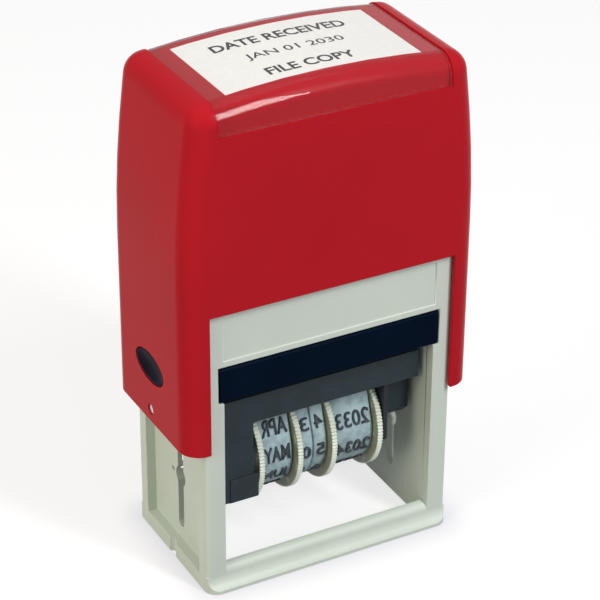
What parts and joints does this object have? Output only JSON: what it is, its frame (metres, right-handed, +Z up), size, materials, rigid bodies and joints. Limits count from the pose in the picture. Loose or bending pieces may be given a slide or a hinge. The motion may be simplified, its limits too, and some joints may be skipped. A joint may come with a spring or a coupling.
{
  "type": "self-inking date stamp",
  "caption": "Self-inking date stamp: a sprung cap slides down over a moulded frame and turns a carriage with text plate, date bands and setting wheels over, from the ink pad to the paper.",
  "frame": {"origin": "middle of the base's underside", "axes": "+Z up, +Y to the back, +X to the right as seen from the front, where the pad's grip bar is"},
  "size_m": [0.0638, 0.0342, 0.1078],
  "materials": {
    "frame_plastic": "pale grey-green moulded plastic, satin",
    "cap_plastic": "crimson moulded plastic, gloss",
    "clear_window": "clear moulded plastic, polished",
    "label_paper": "white paper, matt",
    "spring_steel": "drawn spring wire",
    "tray_plastic": "near-black navy plastic, satin",
    "ink_felt": "inked felt",
    "carriage_plastic": "slate plastic, matt",
    "pin_steel": "bright drawn steel",
    "die_rubber": "moulded rubber",
    "dater_plastic": "dark plastic, matt",
    "wheel_plastic": "off-white plastic, satin",
    "band_rubber": "light blue moulded rubber",
    "button_plastic": "dark navy plastic, gloss"
  },
  "bodies": {
    "base": {"base_frame": "frame_plastic", "ink_pad_tray": "tray_plastic", "ink_pad": "ink_felt", "return_spring": "spring_steel"},
    "press_cap": {"cap": "cap_plastic", "index_window": "clear_window", "index_label": "label_paper"},
    "turner": {"carriage": "carriage_plastic", "axle_pin_left": "pin_steel", "axle_pin_right": "pin_steel", "cam_peg": "pin_steel", "die_plate": "carriage_plastic", "text_die": "die_rubber", "dater_plate_left": "dater_plastic", "dater_plate_right": "dater_plastic", "wheel_axle": "pin_steel", "band_nose": "dater_plastic", "month_band": "band_rubber", "day_tens_band": "band_rubber", "day_units_band": "band_rubber", "year_band": "band_rubber"},
    "month_setting": {"month_wheel": "wheel_plastic"},
    "day_tens_setting": {"day_tens_wheel": "wheel_plastic"},
    "day_units_setting": {"day_units_wheel": "wheel_plastic"},
    "year_setting": {"year_wheel": "wheel_plastic"},
    "lock_left": {"lock_button_left": "button_plastic"},
    "lock_right": {"lock_button_right": "button_plastic"}
  },
  "joints": [
    {"name": "cap_press", "type": "slide", "parent": "base", "child": "press_cap", "axis": [0, 0, -1], "range_m": [0, 0.0287], "stiffness_N_per_m": 450, "springref_m": -0.012, "deforming": ["return_spring"]},
    {"name": "carriage_flip", "type": "hinge", "parent": "press_cap", "child": "turner", "pos_m": [0, 0, 0.0362], "axis": [-1, 0, 0], "range_deg": [0, 180]},
    {"name": "month_turn", "type": "hinge", "parent": "turner", "child": "month_setting", "pos_m": [0, 0, 0.0232], "axis": [1, 0, 0], "continuous": true},
    {"name": "day_tens_turn", "type": "hinge", "parent": "turner", "child": "day_tens_setting", "pos_m": [0, 0, 0.0232], "axis": [1, 0, 0], "continuous": true},
    {"name": "day_units_turn", "type": "hinge", "parent": "turner", "child": "day_units_setting", "pos_m": [0, 0, 0.0232], "axis": [1, 0, 0], "continuous": true},
    {"name": "year_turn", "type": "hinge", "parent": "turner", "child": "year_setting", "pos_m": [0, 0, 0.0232], "axis": [1, 0, 0], "continuous": true},
    {"name": "lock_left_push", "type": "slide", "parent": "press_cap", "child": "lock_left", "axis": [1, 0, 0], "range_m": [0, 0.0015], "stiffness_N_per_m": 400, "springref_m": -0.001},
    {"name": "lock_right_push", "type": "slide", "parent": "press_cap", "child": "lock_right", "axis": [-1, 0, 0], "range_m": [0, 0.0015], "stiffness_N_per_m": 400, "springref_m": -0.001}
  ],
  "couplings": [
    {"joint": "carriage_flip", "follows": "cap_press", "rad_per_m": 109.46}
  ]
}
